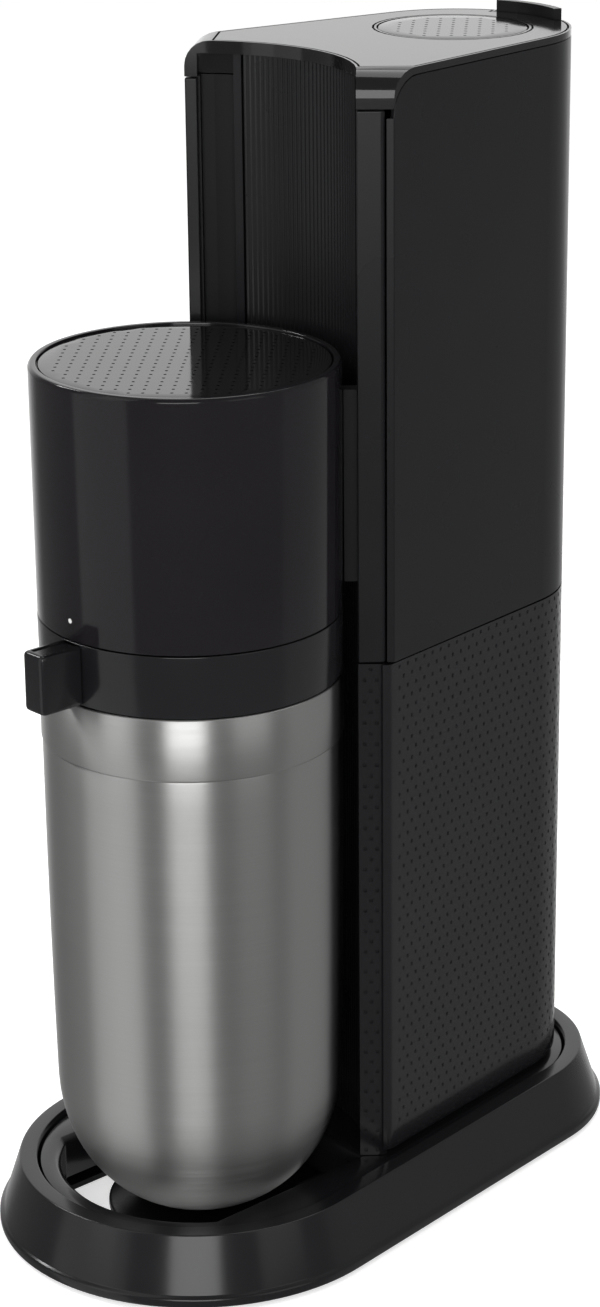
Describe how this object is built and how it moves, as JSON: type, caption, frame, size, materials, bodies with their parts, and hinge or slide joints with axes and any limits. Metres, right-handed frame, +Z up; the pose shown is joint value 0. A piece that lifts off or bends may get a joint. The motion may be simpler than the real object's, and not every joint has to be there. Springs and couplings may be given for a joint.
{
  "type": "soda carbonator",
  "caption": "Countertop soda carbonator: lifting head with turning lock ring over a steel canister, gas tower behind with push button, egg-shaped base.",
  "frame": {"origin": "centre of the footprint on the surface that the feet stand on", "axes": "+Z up, +Y to the rear (gas tower), -Y to the front (lock lever), +X to the right"},
  "size_m": [0.1528, 0.2682, 0.4341],
  "materials": {
    "gloss_black": "moulded, polished",
    "satin_black": "moulded, satin",
    "textured_black": "moulded with a lattice of dimples",
    "fleck_black": "moulded, fine fleck",
    "inner_black": "moulded, plain",
    "rubber": "matt",
    "steel_rail": "plain",
    "brushed_steel": "brushed round the axis",
    "brass": "turned",
    "aluminium": "spun",
    "glass": "clear",
    "seal": "matt"
  },
  "bodies": {
    "base": {"base_rim": "gloss_black", "base_deck": "satin_black", "base_plate": "satin_black", "canister_pedestal": "satin_black", "foot_front_left": "rubber", "foot_front_right": "rubber", "foot_rear_left": "rubber", "foot_rear_right": "rubber", "tower_plinth": "inner_black", "tower_frame": "inner_black", "post_lower_left": "textured_black", "post_lower_right": "textured_black", "post_upper_left": "satin_black", "post_upper_right": "satin_black", "ribbed_panel": "satin_black", "guide_rail_left": "steel_rail", "guide_rail_right": "steel_rail", "top_cap": "gloss_black", "button_guide": "inner_black", "actuator_pivot": "steel_rail", "pivot_ear_left": "inner_black", "pivot_ear_right": "inner_black", "valve_block": "inner_black", "cylinder_valve": "brass", "gas_outlet": "brass", "co2_cylinder": "aluminium", "cylinder_cradle": "inner_black", "cylinder_seat": "rubber", "canister_shell": "brushed_steel", "canister_collar": "inner_black", "bottle_pad": "rubber", "glass_bottle": "glass"},
    "head": {"head_shell": "fleck_black", "head_top_panel": "gloss_black", "head_chassis": "inner_black", "carriage_arm_left": "inner_black", "carriage_arm_right": "inner_black", "nozzle_seal": "seal", "nozzle_body": "inner_black", "nozzle_tube": "steel_rail", "relief_valve": "brass", "pressure_fitting": "steel_rail"},
    "lock_ring": {"lock_ring": "satin_black", "lock_lever": "satin_black"},
    "button": {"carbonation_button": "gloss_black", "button_rod": "aluminium"},
    "actuator": {"actuator_lever": "steel_rail"},
    "valve_pin": {"valve_pin": "brass"},
    "rear_cover": {"cover_upper": "satin_black", "cover_lower": "textured_black", "latch_pin": "steel_rail"},
    "cover_latch": {"cover_latch": "gloss_black"},
    "cylinder_bail": {"cylinder_bail": "steel_rail"}
  },
  "joints": [
    {"name": "head_lift", "type": "slide", "parent": "base", "child": "head", "axis": [0, 0, 1], "range_m": [0, 0.08]},
    {"name": "lock_ring_turn", "type": "hinge", "parent": "head", "child": "lock_ring", "pos_m": [0, -0.0577, 0.229], "axis": [0, 0, 1], "range_deg": [0, 35]},
    {"name": "button_press", "type": "slide", "parent": "base", "child": "button", "axis": [0, 0, -1], "range_m": [0, 0.005], "stiffness_N_per_m": 900, "springref_m": -0.002},
    {"name": "actuator_rock", "type": "hinge", "parent": "base", "child": "actuator", "pos_m": [0, 0.0893, 0.398], "axis": [1, 0, 0], "range_deg": [0, 8.2]},
    {"name": "valve_pin_press", "type": "slide", "parent": "base", "child": "valve_pin", "axis": [0, 0, -1], "range_m": [0, 0.0022]},
    {"name": "cover_pull", "type": "slide", "parent": "base", "child": "rear_cover", "axis": [0, 1, 0], "range_m": [0, 0.13]},
    {"name": "latch_tilt", "type": "hinge", "parent": "rear_cover", "child": "cover_latch", "pos_m": [0, 0.1073, 0.408], "axis": [-1, 0, 0], "range_deg": [0, 6], "stiffness_Nm_per_rad": 0.6, "springref_deg": -5.73},
    {"name": "bail_lift", "type": "hinge", "parent": "base", "child": "cylinder_bail", "pos_m": [0, 0.0743, 0.368], "axis": [1, 0, 0], "range_deg": [0, 45]}
  ],
  "couplings": [
    {"joint": "actuator_rock", "follows": "button_press", "rad_per_m": 28.571},
    {"joint": "valve_pin_press", "follows": "button_press", "ratio": 0.42857}
  ]
}
